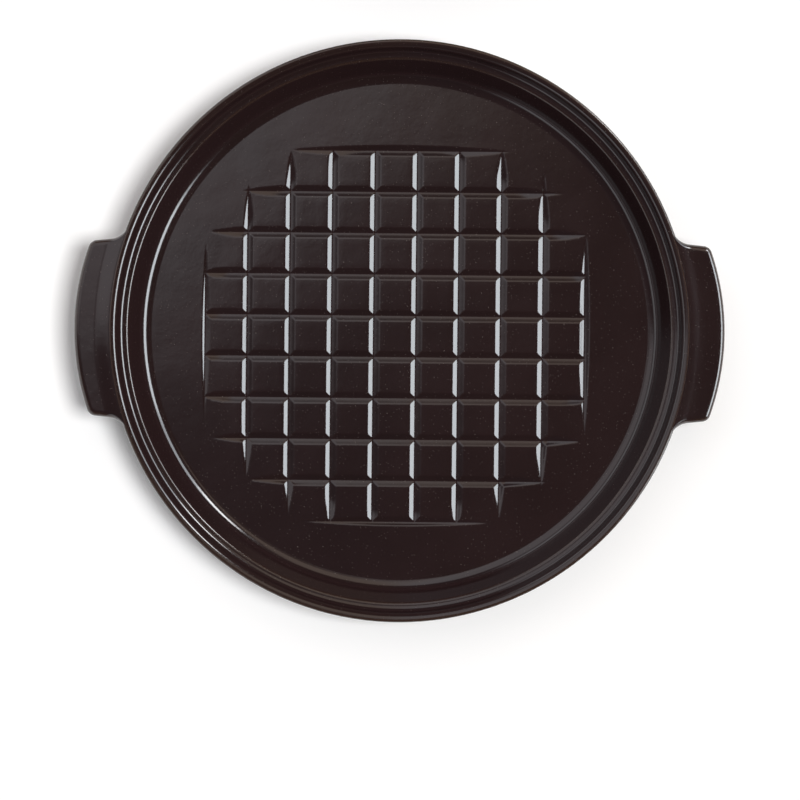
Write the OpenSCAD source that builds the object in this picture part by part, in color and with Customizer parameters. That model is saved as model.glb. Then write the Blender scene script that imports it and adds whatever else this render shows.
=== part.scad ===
// Round stoneware bread cloche: a shallow two-handled base and a bell lid that drops inside its lip.
// The lid is drawn set aside on the same surface, right side up, behind the base.
// Origin: centre of the base's flat foot. +Z is up and +X runs through the handles. Millimetres.

/* [Base] */
// Outer diameter of the base over its lip
base_d = 304.8; // [285:0.1:330]
// Height of the base, from the surface it stands on to the crest of the lip
base_h = 38; // [34:0.5:48]
// Thickness of the floor
floor_t = 7; // [5:0.5:9]
// Diameter of the flat foot
foot_d = 236; // [190:1:250]
// Height of the foot below the underside of the floor
foot_h = 3; // [2:0.5:5]
// Lean of the wall, inside and out, in degrees from upright
draft = 18; // [14:1:22]
// Radius between floor and inner wall
floor_fillet = 7; // [4:0.5:12]

/* [Seat for the lid] */
// Depth of the seat below the crest of the lip
seat_drop = 8; // [6:0.5:10]
// Width of the flat seat that carries the lid
seat_w = 3.9; // [3.4:0.1:6]
// Width of the lip across its crest
lip_w = 3.9; // [3:0.1:5]
// Lean of the lip's inner face, in degrees from upright
lip_lean = 13.5; // [8:0.5:20]
// Radius along the lip's inner edge
lip_soft = 2.4; // [1:0.1:2.5]
// Radius along the lip's outer edge
lip_edge = 1; // [0.6:0.1:1.1]
// Radius along the inner edge of the seat
seat_edge = 1.8; // [0.6:0.1:2]

/* [Outside of the base] */
// Height of the upright band round the outside of the lip
band_h = 7; // [4:0.5:10]
// Radius low on the outside, where the wall turns under
shoulder_r = 8; // [5:0.5:10]

/* [Handles] */
// Width of the base over both handles
handle_span = 340.6; // [335:0.1:352]
// Width of a handle across its outer corners
handle_w = 92; // [75:0.1:100]
// Flare of a handle's sides towards the base, in degrees
handle_flare = 6; // [0:1:12]
// Radius of a handle's bowed outer edge
handle_bow = 130; // [100:1:160]
// Radius of a handle's outer corners, seen from above
handle_corner = 4.8; // [4.2:0.1:8]
// Radius of the hollow where a handle's side meets the base
handle_root = 11; // [6:0.5:16]
// Thickness of a handle
handle_t = 12; // [10:0.5:14]
// Step from the crest of the lip down to a handle's top
handle_step = 1.6; // [1.2:0.1:3]
// Radius along a handle's upper edge
handle_top_edge = 2.6; // [1:0.1:4]
// Radius along a handle's lower edge
handle_low_edge = 4; // [1:0.1:4.1]

/* [Floor grooves] */
// Distance from one groove to the next, measured along X
groove_pitch_x = 22.4; // [18:0.1:30]
// Distance from one groove to the next, measured along Y
groove_pitch_y = 21.9; // [18:0.1:30]
// Width of a groove at the floor
groove_w = 5.8; // [4:0.1:8]
// Depth of a groove
groove_d = 1.4; // [0.8:0.1:2.5]
// Radius of the round field that the grooves fill
groove_field_r = 109.5; // [80:0.5:120]
// Length over which a groove runs out at its ends
groove_run_out = 6; // [4:0.5:14]
// Shift of the grid of grooves along X from the centre
grid_shift_x = -2.3; // [-5:0.1:5]
// Shift of the grid of grooves along Y from the centre
grid_shift_y = -2.5; // [-5:0.1:5]

/* [Lid] */
// Clearance between the lid's edge and the foot of the lip, all round
lid_clearance = 0.8; // [0.5:0.1:1.5]
// Thickness of the bell's wall
lid_wall = 5.5; // [4.5:0.1:8]
// Height of the bell without its knob
bell_h = 104; // [80:1:130]
// Height of the upright band round the lid's lower edge
lid_band_h = 9; // [6:0.5:14]
// Fullness of the bell's curve: 2 is an ellipse, more is squarer at the shoulder
bell_fullness = 2.35; // [2:0.05:3]
// Radius along the lid's lower edge
lid_edge = 1.2; // [0.6:0.1:2]

/* [Knob] */
// Diameter of the knob's head
knob_d = 48; // [38:1:60]
// Diameter of the knob's neck
neck_d = 27; // [20:1:32]
// Height of the neck between the bell and the head
neck_h = 9; // [8:0.5:14]
// Height of the head
knob_h = 17; // [14:0.5:24]

/* [Set aside] */
// Gap between the base and the lid as it stands beside it
aside_gap = 45; // [35:1:120]

/* [Hidden] */
$fn = 180;
glaze = [0.13, 0.09, 0.09];

// Base, from the inside out
lip_r = base_d / 2;
lip_in_r = lip_r - lip_w;
seat_z = base_h - seat_drop;
seat_out_r = lip_in_r - seat_drop * tan(lip_lean);
seat_in_r = seat_out_r - seat_w;
floor_z = foot_h + floor_t;
wall_foot_r = seat_in_r - (seat_z - floor_z) * tan(draft);
band_z = base_h - band_h;
under_r = lip_r - (band_z - foot_h) * tan(draft);
foot_r = foot_d / 2;
foot_edge = min(1, foot_h / 3);
seat_fillet = 2.5;
band_fillet = 6;

// Handles
handle_top_z = base_h - handle_step;
handle_low_z = handle_top_z - handle_t;
bow_x = handle_span / 2 - handle_bow;
inner_x = lip_r - 22;
core_in = 3.2;
skin = 0.01;
round_steps = 4;
corner_steps = 5;
bow_steps = 10;

// Corner circle of a handle on the +Y side, and the middle of the hollow at its root
side_n = [sin(handle_flare), cos(handle_flare)];
side_u = [cos(handle_flare), -sin(handle_flare)];
corner_y = handle_w / 2 - handle_corner;
corner_c = [bow_x + sqrt(pow(handle_bow - handle_corner, 2) - pow(corner_y, 2)), corner_y];
bow_angle = atan2(corner_c[1], corner_c[0] - bow_x);
bite = 0.4;
root_q = corner_c * side_n + handle_corner + handle_root;
root_c = root_q * side_n + sqrt(pow(lip_r - bite + handle_root, 2) - root_q * root_q) * side_u;
root_angle = atan2(root_c[1], root_c[0]);

// Grooves: a round-bottomed channel that is part of a circle
groove_r = (pow(groove_w / 2, 2) + pow(groove_d, 2)) / (2 * groove_d);
groove_half_angle = asin(groove_w / 2 / groove_r);
groove_steps = 6;

// Lid
rim_r = seat_out_r - lid_clearance;
bell_in_r = rim_r - lid_wall;
bell_in_h = bell_h - lid_wall;
neck_r = neck_d / 2;
knob_r = knob_d / 2;
knob_z = bell_h + neck_h;
lid_y = lip_r + aside_gap + rim_r;
bell_steps = 28;

// Unit vector at an angle
function dir(a) = [cos(a), sin(a)];

// Points of an arc about a centre, from one angle to another
function arc(c, r, a, b, n) = [for (i = [0:n]) c + r * dir(a + (b - a) * i / n)];

// Corner b of the line a-b-c, turned into an arc of radius r that touches both sides
function fillet(a, b, c, r, n = 6) =
    let (u = (a - b) / norm(a - b), v = (c - b) / norm(c - b),
         half = acos(u * v) / 2,
         m = b + (u + v) / norm(u + v) * r / sin(half),
         p = b + u * r / tan(half), q = b + v * r / tan(half),
         a0 = atan2(p[1] - m[1], p[0] - m[0]),
         turn = atan2(q[1] - m[1], q[0] - m[0]) - a0,
         sweep = turn > 180 ? turn - 360 : turn < -180 ? turn + 360 : turn)
    arc(m, r, a0, a0 + sweep, n);

// Line through corners, each given as [x, y, radius]: a radius of 0 stays sharp
function rounded(c) = [for (i = [0:len(c) - 1])
    let (here = [c[i][0], c[i][1]])
    each c[i][2] == 0 ? [here]
        : fillet([c[i - 1][0], c[i - 1][1]], here, [c[i + 1][0], c[i + 1][1]], c[i][2])];

// Section of the base, from the middle of the floor out to the lip and back under to the foot
base_section = rounded([
    [0, floor_z, 0],
    [wall_foot_r, floor_z, floor_fillet],
    [seat_in_r, seat_z, seat_edge],
    [seat_out_r, seat_z, seat_fillet],
    [lip_in_r, base_h, lip_soft],
    [lip_r, base_h, lip_edge],
    [lip_r, band_z, band_fillet],
    [under_r, foot_h, shoulder_r],
    [foot_r, foot_h, foot_edge],
    [foot_r, 0, foot_edge],
    [0, 0, 0]]);

// Half of the line round a handle, from inside the wall out to the middle of the bowed edge,
// with every edge moved in by inset
function half_edge(inset) =
    let (side = corner_c * side_n + handle_corner - inset,
         inner_y = (side - inner_x * side_n[0]) / side_n[1])
    concat(
        [[inner_x, inner_y]],
        arc(corner_c, handle_corner - inset, 90 - handle_flare, bow_angle, corner_steps),
        arc([bow_x, 0], handle_bow - inset, bow_angle, 0, bow_steps));

// Whole line round a handle: a half and its mirror image
function edge_line(inset) =
    let (h = half_edge(inset), last = len(h) - 1)
    concat(h, [for (i = [1:last]) [h[last - i][0], -h[last - i][1]]]);

// Levels of a handle from the bottom up, each a height and the inset of its rounded edges
handle_levels = concat(
    [for (i = [0:round_steps]) let (a = 90 * i / round_steps)
        [handle_low_z + handle_low_edge * (1 - cos(a)), handle_low_edge * (1 - sin(a))]],
    [for (i = [round_steps:-1:0]) let (a = 90 * i / round_steps)
        [handle_top_z - handle_top_edge * (1 - cos(a)), handle_top_edge * (1 - sin(a))]]);

// Flat tab of a handle with rounded edges, reaching deep into the base
module handle_tab() {
    hull()
        for (l = handle_levels)
            translate([0, 0, l[0]])
                linear_extrude(skin) polygon(edge_line(l[1]));
}

// Hollow that blends one side of a handle into the outside of the base
module handle_root() {
    translate([0, 0, handle_low_z + handle_low_edge])
        linear_extrude(handle_t - handle_low_edge - handle_top_edge)
            polygon(concat(
                [[inner_x, corner_c[1]]],
                arc(root_c, handle_root, root_angle + 180, 270 - handle_flare, corner_steps),
                [root_c - handle_root * side_n - [0, handle_corner]]));
}

// Handle on the +X side, cut back to a cone that runs inside the wall of the base
module handle() {
    core_r = under_r - core_in;
    difference() {
        union() {
            handle_tab();
            handle_root();
            mirror([0, 1, 0]) handle_root();
        }
        translate([0, 0, foot_h])
            cylinder(h = base_h, r1 = core_r, r2 = core_r + base_h * tan(draft));
    }
}

// Cross-section of a groove, with its middle at the floor and its top open above it
module groove_section() {
    arc_z = groove_r - groove_d;
    polygon(concat(
        arc([0, arc_z], groove_r, -90 - groove_half_angle, -90 + groove_half_angle, groove_steps),
        [[groove_w / 2, groove_d], [-groove_w / 2, groove_d]]));
}

// Parallel grooves along X, a pitch apart, as far as the round field reaches
module groove_rows_x(pitch, shift) {
    rows = floor(groove_field_r / pitch + 0.5);
    for (i = [-rows:rows - 1])
        translate([-groove_field_r, (i + 0.5) * pitch + shift, 0])
            rotate([90, 0, 90])
                linear_extrude(2 * groove_field_r) groove_section();
}

// Both sets of grooves, cut off by a cone so that each runs out at its ends
module grooves() {
    translate([0, 0, floor_z])
        intersection() {
            union() {
                groove_rows_x(groove_pitch_y, grid_shift_y);
                rotate([0, 0, -90]) groove_rows_x(groove_pitch_x, grid_shift_x);
            }
            translate([0, 0, -groove_d])
                cylinder(h = 2 * groove_d, r1 = groove_field_r - groove_run_out,
                         r2 = groove_field_r + groove_run_out);
        }
}

module base() {
    color(glaze)
        difference() {
            union() {
                rotate_extrude() polygon(base_section);
                handle();
                rotate([0, 0, 180]) handle();
            }
            grooves();
        }
}

// Quarter of the bell's curve, from the lower band up to the axis
function bell(r, h) = [for (i = [0:bell_steps]) let (a = 90 * i / bell_steps)
    [r * pow(max(cos(a), 0), 2 / bell_fullness),
     lid_band_h + (h - lid_band_h) * pow(sin(a), 2 / bell_fullness)]];

// Outside of the bell stops where the neck of the knob stands on it
bell_outside = [for (p = bell(rim_r, bell_h)) if (p[0] > neck_r + neck_h / 2) p];
bell_inside = bell(bell_in_r, bell_in_h);

// Knob, from the foot of the neck up to the middle of the head
knob_section = rounded([
    [neck_r + neck_h / 2 + 1, bell_h, 0],
    [neck_r, bell_h, neck_h / 3],
    [neck_r, knob_z, neck_h / 3],
    [knob_r, knob_z + knob_h / 8, knob_h / 4],
    [knob_r - knob_h / 8, knob_z + knob_h, knob_h / 2.4],
    [0, knob_z + knob_h, 0]]);

// Section of the lid: lower edge, outside of the bell, knob, then down the inside
lid_section = concat(
    rounded([[bell_in_r, lid_band_h, 0], [bell_in_r, 0, lid_edge], [rim_r, 0, lid_edge],
             [rim_r, lid_band_h, 0]]),
    [for (i = [1:len(bell_outside) - 1]) bell_outside[i]],
    knob_section,
    [for (i = [bell_steps:-1:1]) bell_inside[i]]);

module lid() {
    color(glaze)
        translate([0, lid_y, 0])
            rotate_extrude() polygon(lid_section);
}

base();
lid();
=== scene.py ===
"""Round stoneware bread cloche: the looks around the packed model.

A shallow two-handled dish with a waffle of grooves in its floor stands in a pale studio, and its
bell lid stands set aside behind it. Each piece is a surface worked out with numpy, and one dark
glaze covers them all. Lengths are in metres, in the frame of the packed model.
"""

import math

import bmesh
import bpy
import numpy as np
from mathutils import Matrix, Vector


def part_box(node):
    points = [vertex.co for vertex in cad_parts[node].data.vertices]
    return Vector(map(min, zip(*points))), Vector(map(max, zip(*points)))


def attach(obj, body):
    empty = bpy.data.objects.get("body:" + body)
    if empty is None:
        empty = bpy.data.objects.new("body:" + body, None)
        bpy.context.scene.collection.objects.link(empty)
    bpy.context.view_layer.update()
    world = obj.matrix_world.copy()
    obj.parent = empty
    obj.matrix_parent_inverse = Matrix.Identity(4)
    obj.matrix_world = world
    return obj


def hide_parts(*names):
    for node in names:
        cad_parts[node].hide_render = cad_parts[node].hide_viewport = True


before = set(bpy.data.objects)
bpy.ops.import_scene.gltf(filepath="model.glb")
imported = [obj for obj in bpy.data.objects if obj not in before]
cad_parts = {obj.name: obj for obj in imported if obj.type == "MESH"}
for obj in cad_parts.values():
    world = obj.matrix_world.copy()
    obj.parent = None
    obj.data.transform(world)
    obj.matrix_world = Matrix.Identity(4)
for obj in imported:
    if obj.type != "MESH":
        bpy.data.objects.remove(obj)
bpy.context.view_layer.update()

bl_info = {
    "name": "Bread cloche",
    "version": (1, 0, 0),
    "blender": (4, 5, 0),
    "location": "View3D > Sidebar > Cloche",
    "description": "Dish, handles, bell lid and studio around the packed bread cloche",
    "category": "Object",
}

MM = 0.001
TURN_STEPS = 300
SAME_POINT = 1e-7
DISH_LOW, DISH_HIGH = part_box("base")
LID_LOW, LID_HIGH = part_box("lid")


def length(name, description, default, low=0.0, high=1.0):
    """A length in metres that a user would change."""
    return bpy.props.FloatProperty(
        name=name, description=description, default=default, min=low, max=high,
        unit="LENGTH", precision=4)


def angle(name, description, degrees, low=0.0, high=90.0):
    """An angle, given in degrees and kept in radians."""
    return bpy.props.FloatProperty(
        name=name, description=description, default=math.radians(degrees),
        min=math.radians(low), max=math.radians(high), subtype="ANGLE")


def colour(name, description, default):
    """A linear colour."""
    return bpy.props.FloatVectorProperty(
        name=name, description=description, default=default, size=3, min=0.0, max=1.0,
        subtype="COLOR")


def share(name, description, default, low=0.0, high=1.0):
    """A plain number."""
    return bpy.props.FloatProperty(
        name=name, description=description, default=default, min=low, max=high)


class DishSizes(bpy.types.PropertyGroup):
    """Sizes of the dish, from its foot to the crest of its lip"""

    lip_radius: length("Lip radius", "Outer radius of the lip", DISH_HIGH[1])
    height: length("Height", "Height of the lip's crest", DISH_HIGH[2])
    floor_height: length("Floor height", "Height of the dish's floor", 10 * MM)
    foot_radius: length("Foot radius", "Radius of the flat foot", 118 * MM)
    foot_height: length("Foot height", "Height of the foot under the dish", 3 * MM)
    lip_width: length("Lip width", "Width of the lip across its crest", 3.9 * MM)
    lip_lean: angle("Lip lean", "Lean of the lip's inner face from upright", 13.5)
    lip_soft: length("Lip's inner rounding", "Radius along the lip's inner edge", 3.2 * MM)
    lip_round: length("Lip's outer rounding", "Radius along the lip's outer edge", 1.3 * MM)
    seat_drop: length("Seat drop", "Depth of the lid's seat below the crest", 8 * MM)
    seat_width: length("Seat width", "Width of the lid's seat", 3.9 * MM)
    seat_round: length("Seat rounding", "Radius along the inner edge of the seat", 1.9 * MM)
    seat_hollow: length("Seat hollow", "Radius between the seat and the lip", 3.1 * MM)
    floor_hollow: length("Floor hollow", "Radius between the floor and the wall", 6.2 * MM)
    band_height: length("Band height", "Height of the upright band round the lip", 7 * MM)
    band_round: length("Band rounding", "Radius under the band", 6 * MM)
    shoulder: length("Shoulder", "Radius where the wall turns under", 8 * MM)
    foot_round: length("Foot rounding", "Radius along the edges of the foot", 1 * MM)
    draft: angle("Draft", "Lean of the wall from upright, inside and out", 18)


class GrooveSizes(bpy.types.PropertyGroup):
    """Sizes of the grooves in the floor"""

    pitch_x: length("Pitch along X", "Distance between grooves, along X", 22.4 * MM)
    pitch_y: length("Pitch along Y", "Distance between grooves, along Y", 21.9 * MM)
    width: length("Width", "Width of a groove at the floor", 5.8 * MM)
    depth: length("Depth", "Depth of a groove", 1.4 * MM)
    field: length("Field radius", "Radius of the round field of grooves", 111 * MM)
    run_out: length("Run-out", "Length over which a groove runs out", 13 * MM)
    shift_x: length("Shift along X", "Shift of the grid along X", -2.3 * MM, -1.0)
    shift_y: length("Shift along Y", "Shift of the grid along Y", -2.5 * MM, -1.0)


class HandleSizes(bpy.types.PropertyGroup):
    """Sizes of the two tab handles"""

    span: length("Span", "Width over both handles", DISH_HIGH[0] - DISH_LOW[0])
    width: length("Width", "Width over a handle's outer corners", 92 * MM)
    flare: angle("Flare", "Spread of a handle's sides towards the dish", 6)
    bow: length("Bow", "Radius of a handle's bowed outer edge", 130 * MM)
    corner: length("Corner", "Radius of a handle's outer corners", 4.8 * MM)
    root: length("Root", "Radius of the hollow at a handle's root", 11 * MM)
    thickness: length("Thickness", "Thickness of a handle", 12 * MM)
    step: length("Step", "Step from the lip's crest down to a handle", 1.6 * MM)
    top_round: length("Upper rounding", "Radius along the upper edge", 3.0 * MM)
    low_round: length("Lower rounding", "Radius along the lower edge", 4 * MM)


class LidSizes(bpy.types.PropertyGroup):
    """Sizes of the bell lid and its knob"""

    rim_radius: length("Rim radius", "Outer radius of the bell", (LID_HIGH[0] - LID_LOW[0]) / 2)
    wall: length("Wall", "Thickness of the bell's wall", 5.5 * MM)
    height: length("Height", "Height of the bell without its knob", 104 * MM)
    band: length("Band", "Height of the upright band at the rim", 9 * MM)
    fullness: share("Fullness", "2 is an ellipse, more is squarer", 2.35, 1.5, 4.0)
    rim_round: length("Rim rounding", "Radius along the lower edge", 1.2 * MM)
    knob_radius: length("Knob radius", "Radius of the knob's head", 24 * MM)
    neck_radius: length("Neck radius", "Radius of the knob's neck", 13.5 * MM)
    neck_height: length("Neck height", "Height of the knob's neck", 9 * MM)
    knob_height: length("Knob height", "Height of the knob's head", 17 * MM)


class GlazeLook(bpy.types.PropertyGroup):
    """Colours and gloss of the glaze"""

    dark: colour("Glaze", "Colour where the glaze lies thick", (0.0155, 0.0078, 0.0082))
    brown: colour("Thin glaze", "Colour where it runs thin over an edge", (0.055, 0.030, 0.018))
    speck: colour("Specks", "Colour of the fine pale specks", (0.13, 0.11, 0.10))
    clay: colour("Clay", "Colour of the bare clay of the foot", (0.42, 0.29, 0.19))
    gloss: share("Roughness", "Roughness of the glaze", 0.13)
    index: share("Refraction", "Index of refraction of the glaze", 1.58, 1.0, 3.0)
    clouds: share("Clouds", "Share of the paler clouds' colour in the glaze", 0.5)
    cloud_tone: share("Cloud tone", "Times that the clouds are lighter", 1.35, 1.0, 3.0)
    # Painted light: steep walls are painted this many times lighter, mostly standing in for light
    # they lack from the sides, partly for thinner glaze there.
    steep_painted_light: share("Steep tone", "Times that steep walls are lighter", 2.1, 1.0, 4.0)
    edges: share("Edges", "Share of the thin glaze's colour over edges", 0.5)
    clay_tone: share("Clay tone", "Tone of the clay's darker grain", 0.75)
    specks: share("Strength of specks", "Strength of the specks' colour", 1.3, 0.0, 3.0)
    fine_share: share("Fine specks", "Share of the fine grid's cells with a speck", 0.55)
    coarse_share: share("Coarse specks", "Share of the coarse grid's cells with a speck", 0.3)


class StudioLook(bpy.types.PropertyGroup):
    """Camera and light of the studio"""

    elevation: angle("Elevation", "Camera's height above the horizon", 90)
    roll: angle("Roll", "Camera's roll", 0.58, -10, 10)
    distance: length("Distance", "Camera's distance from the lip's plane", 1.7, 0.2, 10.0)
    frame_width: length("Frame width", "Width of the picture at the lip's plane", 0.4178)
    aim_x: length("Aim X", "Point of the lip's plane in the middle of the picture", 0.66 * MM, -1)
    aim_y: length("Aim Y", "Point of the lip's plane in the middle of the picture", -36.2 * MM, -1)


# Profiles, as lines in the plane of radius and height


def arc(centre, radius, start, stop, steps):
    """Points centre + radius (cos a, sin a), with a running evenly from start to stop."""
    a = np.linspace(start, stop, steps + 1)
    return np.asarray(centre) + radius * np.stack([np.cos(a), np.sin(a)], 1)


def fillet(before, corner, after, radius, turn=math.radians(7)):
    """Corner turned into an arc that touches both sides.

    The arc's centre lies on the bisector, at radius / sin(half the corner's angle).
    """
    u = (before - corner) / np.linalg.norm(before - corner)
    v = (after - corner) / np.linalg.norm(after - corner)
    half = math.acos(np.clip(u @ v, -1, 1)) / 2
    middle = corner + (u + v) / np.linalg.norm(u + v) * radius / math.sin(half)
    first = corner + u * radius / math.tan(half) - middle
    last = corner + v * radius / math.tan(half) - middle
    start = math.atan2(first[1], first[0])
    sweep = (math.atan2(last[1], last[0]) - start + math.pi) % (2 * math.pi) - math.pi
    return arc(middle, radius, start, start + sweep, max(4, round(abs(sweep) / turn)))


def rounded(corners):
    """Line through corners given as (x, y, radius), each of them rounded by its radius."""
    c = np.array(corners, float)
    xy = c[:, :2]
    parts = [xy[i:i + 1] if c[i, 2] == 0 else fillet(xy[i - 1], xy[i], xy[i + 1], c[i, 2])
             for i in range(len(c))]
    return np.concatenate(parts)


def guarded(line, guard=0.3 * MM, widest=6 * MM):
    """The line with extra points near both ends of its long stretches, and along them.

    They keep the shading of a flat stretch flat right up to the arc that ends it.
    """
    parts = []
    for a, b in zip(line[:-1], line[1:]):
        reach = np.linalg.norm(b - a)
        if reach < 5 * guard:
            t = np.array([0.0])
        else:
            edge = guard / reach
            t = np.r_[0.0, np.linspace(edge, 1 - edge, 2 + int(reach / widest))]
        parts.append(a + t[:, None] * (b - a))
    return np.concatenate(parts + [line[-1:]])


def bareness(line, scale=1.3 * MM, spread=0.5 * MM):
    """How thin the glaze runs at each point of a profile: its convex curvature times scale.

    The curvature is the turn of the line per unit of length, smoothed by a bell of that spread.
    """
    step = np.diff(line, axis=0)
    size = np.linalg.norm(step, axis=1)
    heading = np.unwrap(np.arctan2(step[:, 1], step[:, 0]))
    at = np.r_[0, np.cumsum(size)]
    turn = np.zeros(len(line))
    turn[1:-1] = -np.diff(heading)
    gap = (at[:, None] - at[None, :]) / spread
    bell = np.exp(-0.5 * gap ** 2) / (spread * math.sqrt(2 * math.pi))
    return np.clip(bell @ turn * scale, 0, 1)


# Meshes


def lathe(profile, centre_y=0.0, steps=TURN_STEPS):
    """Surface of revolution: the point (r, z) lies at (r cos t, centre_y + r sin t, z).

    Returns (points, faces, rows), where rows gives each point's place in the profile. An end of
    the profile on the axis closes into one pole.
    """
    first_on_axis, last_on_axis = (profile[[0, -1], 0] < SAME_POINT).astype(int)
    body = profile[first_on_axis:len(profile) - last_on_axis]
    t = np.arange(steps) * 2 * math.pi / steps
    r, z = body[:, :1], body[:, 1:]
    grid = np.stack([r * np.cos(t), centre_y + r * np.sin(t), z + 0 * t], 2)
    points = grid.reshape(-1, 3)
    rows = np.repeat(np.arange(len(body)) + first_on_axis, steps)
    i, j = np.meshgrid(np.arange(len(body) - 1), np.arange(steps), indexing="ij")
    k = (j + 1) % steps
    faces = np.stack([i * steps + j, (i + 1) * steps + j, (i + 1) * steps + k, i * steps + k], 2)
    faces = [faces.reshape(-1, 4)]
    j = np.arange(steps)
    k = (j + 1) % steps
    if first_on_axis:
        faces.append(np.stack([0 * j + len(points), j, k], 1))
        points = np.r_[points, [[0, centre_y, profile[0, 1]]]]
        rows = np.r_[rows, 0]
    if last_on_axis:
        ring = (len(body) - 1) * steps
        faces.append(np.stack([ring + j, 0 * j + len(points), ring + k], 1))
        points = np.r_[points, [[0, centre_y, profile[-1, 1]]]]
        rows = np.r_[rows, len(profile) - 1]
    return points, [f.tolist() for f in faces], rows


def piece(name, points, faces, bare, body, node):
    """Makes a finished piece: closed, smooth, facing outwards, on its body and in the glaze."""
    mesh = bpy.data.meshes.new(name)
    mesh.from_pydata(points, [], faces, shade_flat=False)
    mesh.attributes.new("bare", "FLOAT", "POINT").data.foreach_set(
        "value", np.ascontiguousarray(bare, np.float32))
    closed(mesh)
    mesh.materials.append(glaze())
    shown = bpy.data.objects.new(name, mesh)
    bpy.context.scene.collection.objects.link(shown)
    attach(shown, body)
    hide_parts(node)


def closed(mesh):
    """Fills any ring that is left open in a level plane, and turns all faces outwards."""
    work = bmesh.new()
    work.from_mesh(mesh)
    bmesh.ops.remove_doubles(work, verts=work.verts, dist=SAME_POINT)
    seam = [e for e in work.edges if e.is_boundary]
    if seam:
        bmesh.ops.triangle_fill(work, edges=seam, use_beauty=True, normal=(0, 0, 1))
    bmesh.ops.recalc_face_normals(work, faces=work.faces)
    if any(not e.is_manifold for e in work.edges):
        raise RuntimeError(f"{mesh.name} isn't closed")
    for f in work.faces:
        f.smooth = True
    work.to_mesh(mesh)
    work.free()


# Glaze


class Socket:
    """An output of a shader node. Python's operators on it add Math nodes."""

    def __init__(self, maker, link):
        self.maker, self.link = maker, link

    def maths(self, operation, *values, **settings):
        return self.maker.node("ShaderNodeMath", dict(operation=operation, **settings),
                               dict(enumerate(values)))

    def __add__(self, other):
        return self.maths("ADD", self, other)

    def __sub__(self, other):
        return self.maths("SUBTRACT", self, other)

    def __rsub__(self, other):
        return self.maths("SUBTRACT", other, self)

    def __mul__(self, other):
        return self.maths("MULTIPLY", self, other)

    def __truediv__(self, other):
        return self.maths("DIVIDE", self, other)

    def __rtruediv__(self, other):
        return self.maths("DIVIDE", other, self)

    def __lt__(self, other):
        return self.maths("LESS_THAN", self, other)

    def __gt__(self, other):
        return self.maths("GREATER_THAN", self, other)

    def clamped(self):
        return self.maths("ADD", self, 0.0, use_clamp=True)

    def larger(self, other):
        return self.maths("MAXIMUM", self, other)

    def root(self):
        return self.maths("SQRT", self)

    __radd__, __rmul__ = __add__, __mul__


class Shading:
    """Makes the nodes of one material or of the world."""

    def __init__(self, tree):
        self.tree = tree
        tree.nodes.clear()

    def node(self, kind, settings=None, values=None, output=0):
        """Adds a node: its settings first, then the values or links of its inputs."""
        made = self.tree.nodes.new(kind)
        for name, value in (settings or {}).items():
            setattr(made, name, value)
        for name, value in (values or {}).items():
            if isinstance(value, Socket):
                self.tree.links.new(value.link, made.inputs[name])
            elif isinstance(value, tuple):
                made.inputs[name].default_value = (*value, 1)
            else:
                made.inputs[name].default_value = value
        return Socket(self, made.outputs[output]) if made.outputs else None

    def mixed(self, factor, first, second):
        """Colour first where factor is 0 and second where it is 1."""
        return self.node("ShaderNodeMix", dict(data_type="RGBA"), {0: factor, 6: first, 7: second},
                         output=2)

    def noise(self, place, scale, detail):
        """Soft noise of about 0.5, with scale patches to a metre."""
        return self.node("ShaderNodeTexNoise", None,
                         {"Vector": place, "Scale": scale, "Detail": detail})

    def between(self, value, low, high):
        """0 below low, 1 above high, and smooth between them."""
        return self.node("ShaderNodeMapRange", dict(interpolation_type="SMOOTHSTEP"),
                         {"Value": value, "From Min": low, "From Max": high})

    def specks(self, place, scale, size, keep):
        """Round specks, one in each cell that is kept: 1 at a speck's middle and 0 outside it.

        The radius is size cells, and a cell is kept where its random number is under keep.
        """
        settings = dict(voronoi_dimensions="3D", feature="F1")
        values = {"Vector": place, "Scale": scale}
        away = self.node("ShaderNodeTexVoronoi", settings, values, output="Distance")
        chance = self.node("ShaderNodeTexVoronoi", settings, values, output="Color")
        chance = self.node("ShaderNodeSeparateColor", None, {0: chance})
        return (1 - away / size).clamped() * (chance < keep)

    def bump(self, height, distance, before=None):
        """The normal, tilted as if a height of 1 stood that distance above 0."""
        values = {"Height": height, "Distance": distance}
        if before:
            values["Normal"] = before
        return self.node("ShaderNodeBump", None, values)


def toned(tint, tone):
    """The colour times a number, lighter above 1 and darker below it."""
    return tuple(tone * c for c in tint)


# Patches of each pattern along a metre
CLOUDS, WAVES, CLAY_EDGE, PEEL, CLAY_GRAIN, GRAIN = 24, 38, 160, 260, 700, 900
FINE_SPECKS, COARSE_SPECKS = 700, 300


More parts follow.
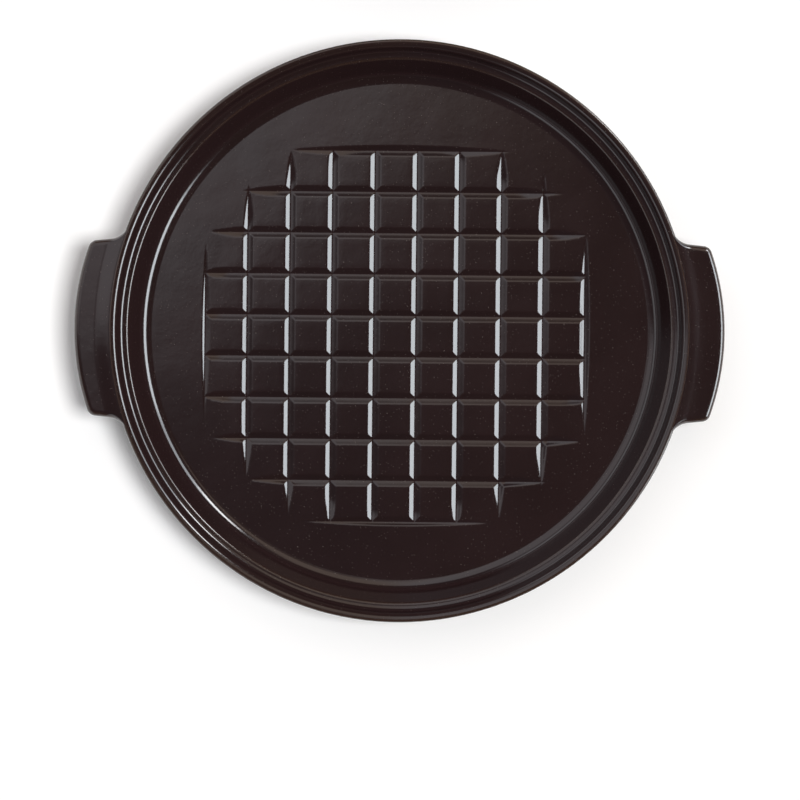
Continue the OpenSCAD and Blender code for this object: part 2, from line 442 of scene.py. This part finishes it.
def glaze():
    """Dark glossy glaze on buff clay, which shows under the foot and the lid's rim.

    It has pale specks, browner edges, and steep walls painted lighter: painted light, partly thin
    glaze.
    """
    made = bpy.data.materials.get("dark_glaze")
    if made:
        return made
    look = bpy.context.scene.cloche_glaze
    made = bpy.data.materials.new("dark_glaze")
    made.use_nodes = True
    s = Shading(made.node_tree)
    place = s.node("ShaderNodeTexCoord", output="Object")
    height = s.node("ShaderNodeSeparateXYZ", None, {0: place}, output=2)
    bare = s.node("ShaderNodeAttribute", dict(attribute_name="bare"), output="Fac")

    clouds = s.noise(place, CLOUDS, detail=3)
    grain = s.noise(place, GRAIN, detail=2)
    body = s.mixed(s.between(clouds, 0.35, 0.7) * look.clouds, tuple(look.dark),
                   toned(look.dark, look.cloud_tone))

    # Painted light: faces are painted lighter the steeper they stand, mostly standing in for light
    # on the walls, partly for thinner glaze there.
    facing = s.node("ShaderNodeTexCoord", output="Normal")
    level = s.node("ShaderNodeSeparateXYZ", None, {0: facing}, output=2)
    body = s.mixed(s.between(level, 0.9, 0.35), body, toned(look.dark, look.steep_painted_light))
    ragged = 0.7 + grain * 0.6
    thin = s.between(bare * ragged, 0.25, 1.0)
    body = s.mixed(thin * look.edges, body, tuple(look.brown))

    fine = s.specks(place, FINE_SPECKS, size=0.14, keep=look.fine_share)
    coarse = s.specks(place, COARSE_SPECKS, size=0.09, keep=look.coarse_share)
    dots = (fine + coarse) * look.specks
    body = s.mixed(dots, body, tuple(look.speck))

    highest, uneven, blur = 0.35 * MM, 0.5 * MM, 0.15 * MM
    edge = s.noise(place, CLAY_EDGE, detail=2) * uneven + highest
    bottom = s.between(edge - height, 0, blur)
    clay = s.mixed(s.noise(place, CLAY_GRAIN, detail=3), tuple(look.clay),
                   toned(look.clay, look.clay_tone))
    body = s.mixed(bottom, body, clay)
    cloud_rough, speck_rough, thin_rough, clay_rough = 0.06, 0.15, 0.05, 0.55
    rough = look.gloss + (clouds - 0.5) * cloud_rough + dots * speck_rough
    rough = rough + thin * thin_rough + bottom * clay_rough

    wave_height, peel_height, grain_height = 0.10 * MM, 0.014 * MM, 0.006 * MM
    normal = s.bump(s.noise(place, WAVES, detail=1), wave_height)
    normal = s.bump(s.noise(place, PEEL, detail=1), peel_height, normal)
    normal = s.bump(grain, grain_height, normal)
    shader = s.node("ShaderNodeBsdfPrincipled", None, {
        "Base Color": body, "Roughness": rough, "IOR": look.index, "Normal": normal})
    s.node("ShaderNodeOutputMaterial", None, {"Surface": shader})
    return made


# Pieces


def dish_profile(p):
    """Section of the dish from its floor outwards, over the lip and under to the foot.

    Returns its corners, each as (radius, height, rounding).
    """
    lean = math.tan(p.draft)
    lip_in = p.lip_radius - p.lip_width
    seat_z = p.height - p.seat_drop
    seat_out = lip_in - p.seat_drop * math.tan(p.lip_lean)
    seat_in = seat_out - p.seat_width
    band_z = p.height - p.band_height
    return [
        (seat_in - (seat_z - p.floor_height) * lean, p.floor_height, p.floor_hollow),
        (seat_in, seat_z, p.seat_round),
        (seat_out, seat_z, p.seat_hollow),
        (lip_in, p.height, p.lip_soft),
        (p.lip_radius, p.height, p.lip_round),
        (p.lip_radius, band_z, p.band_round),
        (p.lip_radius - (band_z - p.foot_height) * lean, p.foot_height, p.shoulder),
        (p.foot_radius, p.foot_height, p.foot_round),
        (p.foot_radius, 0, p.foot_round)]


def groove_lines(g, pitch, shift):
    """Middles of the grooves: (i + 1/2) pitch + shift, as far as the round field reaches."""
    most = int(g.field / pitch + 0.5)
    return (np.arange(-most, most) + 0.5) * pitch + shift


def groove_stations(g, pitch, shift, reach):
    """Places along one axis, close together across each groove and wider between them."""
    half = 0.58 * g.width
    across = np.linspace(-half, half, 21)
    lands = np.linspace(half, pitch - half, 6)[1:-1]
    lines = groove_lines(g, pitch, shift)
    lines = np.r_[lines[0] - pitch, lines, lines[-1] + pitch]
    at = np.concatenate([lines[:, None] + across, lines[:, None] + lands], None)
    at = np.unique(np.round(at, 7))
    return at[np.abs(at) < reach]


def groove_depth(x, y, g):
    """Depth of the waffle at a point.

    With u the distance from a groove's middle over half its width, a groove is a tent,
    1 - (sqrt(u^2 + c^2) - c) / (sqrt(1 + c^2) - c), whose bottom is rounded by c. Of two grooves
    that cross the deeper one counts. A groove ends against the outermost one that it meets, or
    sinks into the floor towards the edge of the round field, so that it ends in a point. A smooth
    maximum with 0 rounds the shoulders.
    """
    c, shoulder = 0.16, 0.09
    along_x = groove_lines(g, g.pitch_x, g.shift_x)
    along_y = groove_lines(g, g.pitch_y, g.shift_y)

    def tent(at, lines):
        u = np.min(np.abs(at[..., None] - lines), -1) * 2 / g.width
        return 1 - (np.hypot(u, c) - c) / (math.hypot(1, c) - c)

    def past(at, lines):
        return np.clip(np.maximum(at - lines[-1], lines[0] - at) * 2 / g.width, 0, 2)

    v = np.maximum(tent(x, along_x) - past(y, along_y), tent(y, along_y) - past(x, along_x))
    v = v - np.clip(1 - (g.field - np.hypot(x, y)) / g.run_out, 0, 2)
    soft = (v + shoulder) ** 2 / (4 * shoulder)
    return g.depth * np.where(v > shoulder, v, np.where(v < -shoulder, 0, soft))


def dish():
    """The dish: a turned ring from the floor's edge to the foot, and a waffled floor inside it.

    The ring of floor between them is filled last. The glaze runs thin where the floor swells,
    which is minus the sum of its height's second slopes along x and y.
    """
    p, g = bpy.context.scene.cloche_dish, bpy.context.scene.cloche_grooves
    waffle_margin, ring_margin, thinning = 3.2 * MM, 5 * MM, 0.35 * MM
    floor_edge = g.field + ring_margin
    profile = guarded(rounded([(floor_edge, p.floor_height, 0), *dish_profile(p), (0, 0, 0)]))
    points, faces, rows = lathe(profile)
    bare = bareness(profile)[rows]

    reach = g.field + waffle_margin
    xs = groove_stations(g, g.pitch_x, g.shift_x, reach)
    ys = groove_stations(g, g.pitch_y, g.shift_y, reach)
    x, y = np.meshgrid(xs, ys, indexing="ij")
    depth = groove_depth(x, y, g)
    slope_x, slope_y = np.gradient(-depth, xs, ys)
    swell = -np.gradient(slope_x, xs, axis=0) - np.gradient(slope_y, ys, axis=1)
    inside = np.hypot(x, y) < reach
    whole = inside[:-1, :-1] & inside[1:, :-1] & inside[:-1, 1:] & inside[1:, 1:]
    used = np.zeros(x.shape, bool)
    for dx, dy in ((0, 0), (1, 0), (0, 1), (1, 1)):
        used[dx:dx + whole.shape[0], dy:dy + whole.shape[1]] |= whole
    index = np.full(x.shape, -1)
    index[used] = np.arange(used.sum()) + len(points)
    quads = np.stack([index[:-1, :-1], index[1:, :-1], index[1:, 1:], index[:-1, 1:]], 2)[whole]
    floor = np.stack([x, y, p.floor_height - depth], 2)[used]
    piece("dish", np.r_[points, floor], sum([*faces, quads.tolist()], []),
          np.r_[bare, np.clip(swell[used] * thinning, 0, 1)], "base", "base")


def handle_outline(h, wall):
    """Half of the line round a handle, from the dish's wall to the middle of the bowed edge.

    It runs round the hollow at the root, along the flared side, round the corner and along the
    bow. Returns its points, their inward directions, and how far each belongs to the root: 1 at
    the wall and 0 from the corner on.
    """
    root_steps, side_steps, corner_steps, bow_steps = 36, 14, 22, 64
    bow_x = h.span / 2 - h.bow
    side = np.array([math.sin(h.flare), math.cos(h.flare)])
    along = np.array([math.cos(h.flare), -math.sin(h.flare)])
    corner_y = h.width / 2 - h.corner
    corner = np.array([bow_x + math.sqrt((h.bow - h.corner) ** 2 - corner_y ** 2), corner_y])
    turn = math.atan2(corner_y, corner[0] - bow_x)
    out = corner @ side + h.corner + h.root
    root = out * side + math.sqrt((wall + h.root) ** 2 - out ** 2) * along
    lean = math.atan2(root[1], root[0])
    hollow = arc(root, h.root, lean + math.pi, 1.5 * math.pi - h.flare, root_steps)
    corners = arc(corner, h.corner, math.pi / 2 - h.flare, turn, corner_steps)
    bowed = arc((bow_x, 0), h.bow, turn, 0, bow_steps)
    t = np.linspace(0, 1, side_steps)[1:-1, None]
    straight = hollow[-1] + t * (corners[0] - hollow[-1])
    inward = np.concatenate([
        (hollow - root) / h.root, np.tile(-side, (len(t), 1)),
        (corner - corners) / h.corner, (np.array([bow_x, 0]) - bowed[1:]) / h.bow])
    line = np.concatenate([hollow, straight, corners, bowed[1:]])
    far = len(hollow) + len(straight)
    part = np.zeros(len(line))
    t = np.linspace(1, 0, far)
    part[:far] = t * t * (3 - 2 * t)
    return line, inward, part


def handle(name, turned):
    """One tab handle: sections carried along its outline, from inside the wall out and back.

    A section runs along the top, round the upper and lower edges and back underneath. Round the
    upper edge it stands radius (1 - sin a) in from the outline and radius (1 - cos a) down, and
    round the lower edge the other way about. The top rises to the lip's crest in a soft step,
    3 n^2 - 2 n^3 of the nearness n to the lip.
    """
    h, p = bpy.context.scene.cloche_handles, bpy.context.scene.cloche_dish
    top = p.height - h.step
    low = top - h.thickness
    bite, top_bite, low_bite = 0.25 * MM, 1.3 * MM, 6.5 * MM
    rise_start, rise_run, below_crest = 1.0 * MM, 8.5 * MM, 0.06 * MM
    sharper_root, top_thin, low_thin = 0.72, 0.8, 0.4
    half, inward, part = handle_outline(h, p.lip_radius - bite)
    flip = np.array([1, -1])
    line = np.concatenate([half, half[-2::-1] * flip])[:, None]
    inward = np.concatenate([inward, inward[-2::-1] * flip])[:, None]
    part = np.r_[part, part[-2::-1]][:, None]

    a = np.linspace(0, math.pi / 2, 12)
    upright = np.linspace(top - h.top_round, low + h.low_round, 6)[1:-1]
    inset = np.r_[h.top_round * (1 - np.sin(a)), 0 * upright, h.low_round * (1 - np.cos(a))]
    z = np.r_[top - h.top_round * (1 - np.cos(a)), upright,
              low + h.low_round * (1 - np.sin(a))]
    outside = rounded([(0, p.floor_height, 0), *dish_profile(p), (0, 0, 0)])
    outside = outside[np.argmax(outside[:, 0]):]
    under = outside[np.diff(outside[:, 1], prepend=1) < 0]
    recess = p.lip_radius - np.interp(z, under[::-1, 1], under[::-1, 0])
    tight = 1 - sharper_root * part
    edge = line + inward * (inset[None] * tight)[..., None]
    away = np.linalg.norm(edge, axis=2, keepdims=True)
    edge = edge * (1 - (recess[None] * part)[..., None] / away)

    def inner(ends, radius, t):
        """Points between a radius inside the wall, where t is 0, and the edge, where it is 1."""
        r = np.linalg.norm(ends, axis=1)[:, None]
        least_gap = 0.02 * MM
        reach = np.minimum(radius, r - least_gap)
        return ends[:, None] / r[..., None] * (reach + (r - reach) * t[None])[..., None]

    t = np.r_[np.linspace(0, 0.5, 26), 0.56, 0.62, 0.7, 0.8, 0.9, 0.97]
    over = inner(edge[:, 0], p.lip_radius - top_bite, t)
    below = inner(edge[:, -1], p.lip_radius - low_bite, t[::-1])
    plan = np.concatenate([over, edge, below], 1)
    level = np.r_[top + 0 * t, z, low + 0 * t]
    near = 1 - (np.linalg.norm(plan, axis=2) - p.lip_radius + rise_start) / rise_run
    near = np.clip(near, 0, 1)
    high = np.clip((level - (top - h.top_round)) / h.top_round, 0, 1)
    height = level + (h.step - below_crest) * near ** 2 * (3 - 2 * near) * high
    points = np.concatenate([plan, height[..., None]], 2) * np.array([turned, turned, 1])

    m, n = height.shape
    i, j = np.meshgrid(np.arange(m - 1), np.arange(n), indexing="ij")
    k = (j + 1) % n
    faces = np.stack([i * n + j, i * n + k, (i + 1) * n + k, (i + 1) * n + j], 2)
    ends = [list(range(n)), list(range((m - 1) * n, m * n))[::-1]]
    bulge = np.sin(2 * a)
    bare = np.r_[0 * t, top_thin * bulge, 0 * upright, low_thin * bulge, 0 * t]
    bare = np.repeat(bare[None], m, 0) * (1 - part)
    piece(name, points.reshape(-1, 3), faces.reshape(-1, 4).tolist() + ends,
          bare.ravel(), "base", "base")


def bell_curve(radius, height, band, fullness, steps=72):
    """Quarter of the bell, down from its crown: (r cos^q a, band + (h - band) sin^q a)."""
    a = np.linspace(math.pi / 2, 0, steps + 1)
    q = 2 / fullness
    wide, tall = np.clip(np.cos(a), 0, 1) ** q, np.sin(a) ** q
    wide[0] = 0
    return np.stack([radius * wide, band + (height - band) * tall], 1)


def lid():
    """The bell lid and its knob, turned round the lid's own axis behind the dish."""
    q = bpy.context.scene.cloche_lid
    head_z = q.height + q.neck_height
    foot_r = q.neck_radius + q.neck_height / 2
    knob_end, bell_start = foot_r + 1 * MM, foot_r + 1.5 * MM
    knob = rounded([
        (0, head_z + q.knob_height, 0),
        (q.knob_radius - q.knob_height / 8, head_z + q.knob_height, q.knob_height / 2.4),
        (q.knob_radius, head_z + q.knob_height / 8, q.knob_height / 4),
        (q.neck_radius, head_z, q.neck_height / 3),
        (q.neck_radius, q.height, q.neck_height / 3),
        (knob_end, q.height, 0)])
    outside = bell_curve(q.rim_radius, q.height, q.band, q.fullness)
    outside = outside[outside[:, 0] > bell_start]
    rim_in = q.rim_radius - q.wall
    rim = rounded([(q.rim_radius, q.band, 0), (q.rim_radius, 0, q.rim_round),
                   (rim_in, 0, q.rim_round), (rim_in, q.band, 0)])
    inside = bell_curve(rim_in, q.height - q.wall, q.band, q.fullness)[::-1]
    profile = np.concatenate([guarded(knob), outside[:-1], guarded(rim), inside[1:]])
    centre_y = (LID_LOW[1] + LID_HIGH[1]) / 2
    points, faces, rows = lathe(profile, centre_y)
    piece("bell_lid", points, sum(faces, []), bareness(profile)[rows], "lid", "lid")


# Studio


def lamp(name, az, el, size, strength, distance=1.4, aim_z=0.03, mirrored=True, tint=(1, 1, 1)):
    """Hangs a softbox whose face gives off strength, aimed at a point on the dish's axis.

    From there it is seen at azimuth az and elevation el. A mirrored one shows in the glaze alone,
    without reflections of its reflections, and any other one only lights.
    """
    deepest = 2.5
    data = bpy.data.lights.new(name, "AREA")
    data.shape = "RECTANGLE"
    data.size, data.size_y = size
    data.energy = strength * math.pi * size[0] * size[1]
    made = bpy.data.objects.new(name, data)
    bpy.context.scene.collection.objects.link(made)
    a, e = math.radians(az), math.radians(el)
    away = Vector((math.cos(a) * math.cos(e), math.sin(a) * math.cos(e), math.sin(e)))
    made.location = Vector((0, 0, aim_z)) + away * distance
    made.rotation_euler = away.to_track_quat("Z", "Y").to_euler()
    made.visible_camera = False
    made.visible_glossy = mirrored
    made.visible_diffuse = not mirrored
    data.color = tint
    data.use_nodes = True
    s = Shading(data.node_tree)
    direct = s.node("ShaderNodeLightPath", output="Ray Depth") < deepest
    glow = s.node("ShaderNodeEmission", None, {"Strength": direct})
    s.node("ShaderNodeOutputLight", None, {"Surface": glow})


def sky():
    """The world as the glaze mirrors it, by the direction (x, y, z) in which a ray leaves.

    A pale ceiling lies over the back and the left, down to a level and up to an edge on the
    right, and right overhead it fades to both sides. A dark round patch in it stands for the
    camera. A pale wall low on the left shows in mirrors alone. The rest is dim, and pale at the
    horizon.
    """
    world = bpy.data.worlds.new("studio")
    bpy.context.scene.world = world
    world.use_nodes = True
    s = Shading(world.node_tree)
    way = s.node("ShaderNodeTexCoord", output="Generated")
    x, y, z = (s.node("ShaderNodeSeparateXYZ", None, {0: way}, output=n) for n in range(3))

    patch_x, patch_y, slant, rest = 0.0325, -0.026, 0.6, 0.4
    away = ((x - patch_x) * (x - patch_x) + (y - patch_y) * (y - patch_y)).root()
    behind = s.between(y - x.larger(0.0) * slant, -0.004, 0.036)
    leftwards = s.between(x, 0.44, 0.30)
    off_patch = s.between(away, 0.097, 0.132)
    high = s.between(z, 0.47, 0.60)
    faded = s.between(x, 0.075, -0.025) * (rest + s.between(x, -0.20, -0.08) * 0.75)
    off_middle = s.between(away, 0.25, 0.33)
    ceiling = behind * leftwards * off_patch * high * faded.larger(off_middle)

    wall = s.between(x, -0.30, -0.50) * s.between(z, 0.48, 0.38)
    wall = wall * s.node("ShaderNodeLightPath", output="Is Glossy Ray")
    horizon = s.between(z, 0.16, 0.02)
    dim, ceiling_light, horizon_light, wall_light = 0.055, 0.95, 0.40, 1.2
    light = dim + ceiling * ceiling_light + horizon * horizon_light + wall * wall_light

    rest_tint = s.mixed(s.between(x, -0.04, 0.05), (0.92, 0.96, 1.0), (1.0, 0.78, 0.58))
    ceiling_tint = s.mixed(s.between(x, -0.05, 0.05), (0.97, 0.96, 1.0), (1.0, 0.82, 0.68))
    ray = s.node("ShaderNodeLightPath", output="Is Camera Ray")
    tint = s.mixed(ray, s.mixed(ceiling, rest_tint, ceiling_tint), (1.0, 1.0, 1.0))
    strength = light * (1 - ray) + ray
    shader = s.node("ShaderNodeBackground", None, {"Color": tint, "Strength": strength})
    s.node("ShaderNodeOutputWorld", None, {"Surface": shader})


def table():
    """The pale floor: white to the camera and in reflections, with the object's shadow on it.

    Far from the object the camera sees it plain white, like the background.
    """
    made = bpy.data.materials.new("pale_floor")
    made.use_nodes = True
    s = Shading(made.node_tree)
    path = {n: s.node("ShaderNodeLightPath", output=n)
            for n in ("Is Camera Ray", "Is Glossy Ray", "Is Transmission Ray")}
    seen = (path["Is Camera Ray"] + path["Is Glossy Ray"] + path["Is Transmission Ray"]).clamped()
    place = s.node("ShaderNodeTexCoord", output="Object")
    reach = s.node("ShaderNodeVectorMath", dict(operation="LENGTH"), {0: place}, output="Value")
    near_edge, far_edge, near_glow = 0.9, 3.0, 0.12
    far = s.between(reach, near_edge, far_edge) * path["Is Camera Ray"]
    tone = s.mixed(far, (near_glow,) * 3, (1.0, 1.0, 1.0))
    lit = s.node("ShaderNodeBsdfDiffuse", None, {"Color": (0.9, 0.9, 0.9)})
    glow = s.node("ShaderNodeEmission", None, {"Color": tone, "Strength": seen})
    both = s.node("ShaderNodeAddShader", None, {0: lit, 1: glow})
    s.node("ShaderNodeOutputMaterial", None, {"Surface": both})
    mesh = bpy.data.meshes.new("table")
    side = 12.0
    mesh.from_pydata([(-side, -side, 0), (side, -side, 0), (side, side, 0), (-side, side, 0)],
                     [], [(0, 1, 2, 3)])
    mesh.materials.append(made)
    floor = bpy.data.objects.new("table", mesh)
    bpy.context.scene.collection.objects.link(floor)


def camera():
    """The camera looks down on a point a little in front of the dish's middle."""
    look = bpy.context.scene.cloche_studio
    data = bpy.data.cameras.new("camera")
    data.sensor_width = 36
    data.lens = data.sensor_width * look.distance / look.frame_width
    data.clip_start, data.clip_end = 0.05, 50
    made = bpy.data.objects.new("camera", data)
    bpy.context.scene.collection.objects.link(made)
    aim = Vector((look.aim_x, look.aim_y, bpy.context.scene.cloche_dish.height))
    back = Vector((0, -math.cos(look.elevation), math.sin(look.elevation)))
    up = Vector((0, math.sin(look.elevation), math.cos(look.elevation)))
    turn = Matrix((up.cross(back), up, back)).transposed()
    roll = Matrix.Rotation(look.roll, 3, "Z")
    made.matrix_world = Matrix.Translation(aim + back * look.distance) @ (turn @ roll).to_4x4()
    bpy.context.scene.camera = made


class CLOCHE_OT_dish(bpy.types.Operator):
    """Make the dish with its lid's seat and waffled floor"""

    bl_idname = "cloche.dish"
    bl_label = "Dish"

    def execute(self, context):
        dish()
        return {"FINISHED"}


class CLOCHE_OT_handles(bpy.types.Operator):
    """Make the two tab handles"""

    bl_idname = "cloche.handles"
    bl_label = "Handles"

    def execute(self, context):
        handle("handle_right", 1)
        handle("handle_left", -1)
        return {"FINISHED"}


class CLOCHE_OT_lid(bpy.types.Operator):
    """Make the bell lid with its knob"""

    bl_idname = "cloche.lid"
    bl_label = "Bell lid"

    def execute(self, context):
        lid()
        return {"FINISHED"}


class CLOCHE_OT_studio(bpy.types.Operator):
    """Make the floor, the lights and the camera"""

    bl_idname = "cloche.studio"
    bl_label = "Studio"

    def execute(self, context):
        context.scene.view_settings.view_transform = "Standard"
        table()
        sky()
        bluish = (0.88, 0.95, 1.0)
        lamp("strip_softbox", az=7, el=30, size=(2.1, 0.7), strength=5.5, tint=bluish)
        lamp("strip_heart", az=-5, el=30, size=(1.1, 0.7), strength=5.5, tint=bluish)
        lamp("window", az=46, el=32, size=(0.24, 0.5), strength=14.0)
        lamp("fill_softbox", az=-8, el=73, size=(2.25, 2.25), strength=29.0, distance=7.5,
             aim_z=0.0, mirrored=False)
        camera()
        return {"FINISHED"}


class CLOCHE_PT_panel(bpy.types.Panel):
    """Lists the sizes, the colours and the pieces"""

    bl_label = "Bread cloche"
    bl_idname = "CLOCHE_PT_panel"
    bl_space_type = "VIEW_3D"
    bl_region_type = "UI"
    bl_category = "Cloche"

    def draw(self, context):
        for made in OPERATORS:
            self.layout.operator(made.bl_idname)
        for name, group in GROUPS.items():
            box = self.layout.box()
            box.label(text=group.__doc__)
            for prop in group.__annotations__:
                box.prop(getattr(context.scene, name), prop)


GROUPS = {
    "cloche_dish": DishSizes,
    "cloche_grooves": GrooveSizes,
    "cloche_handles": HandleSizes,
    "cloche_lid": LidSizes,
    "cloche_glaze": GlazeLook,
    "cloche_studio": StudioLook,
}
OPERATORS = (CLOCHE_OT_dish, CLOCHE_OT_handles, CLOCHE_OT_lid, CLOCHE_OT_studio)


def register():
    for made in (*GROUPS.values(), *OPERATORS, CLOCHE_PT_panel):
        bpy.utils.register_class(made)
    for name, group in GROUPS.items():
        setattr(bpy.types.Scene, name, bpy.props.PointerProperty(type=group))


def unregister():
    for name in GROUPS:
        delattr(bpy.types.Scene, name)
    for made in (CLOCHE_PT_panel, *OPERATORS[::-1], *list(GROUPS.values())[::-1]):
        bpy.utils.unregister_class(made)


def main():
    register()
    bpy.ops.cloche.dish()
    bpy.ops.cloche.handles()
    bpy.ops.cloche.lid()
    bpy.ops.cloche.studio()


if __name__ == "__main__":
    main()
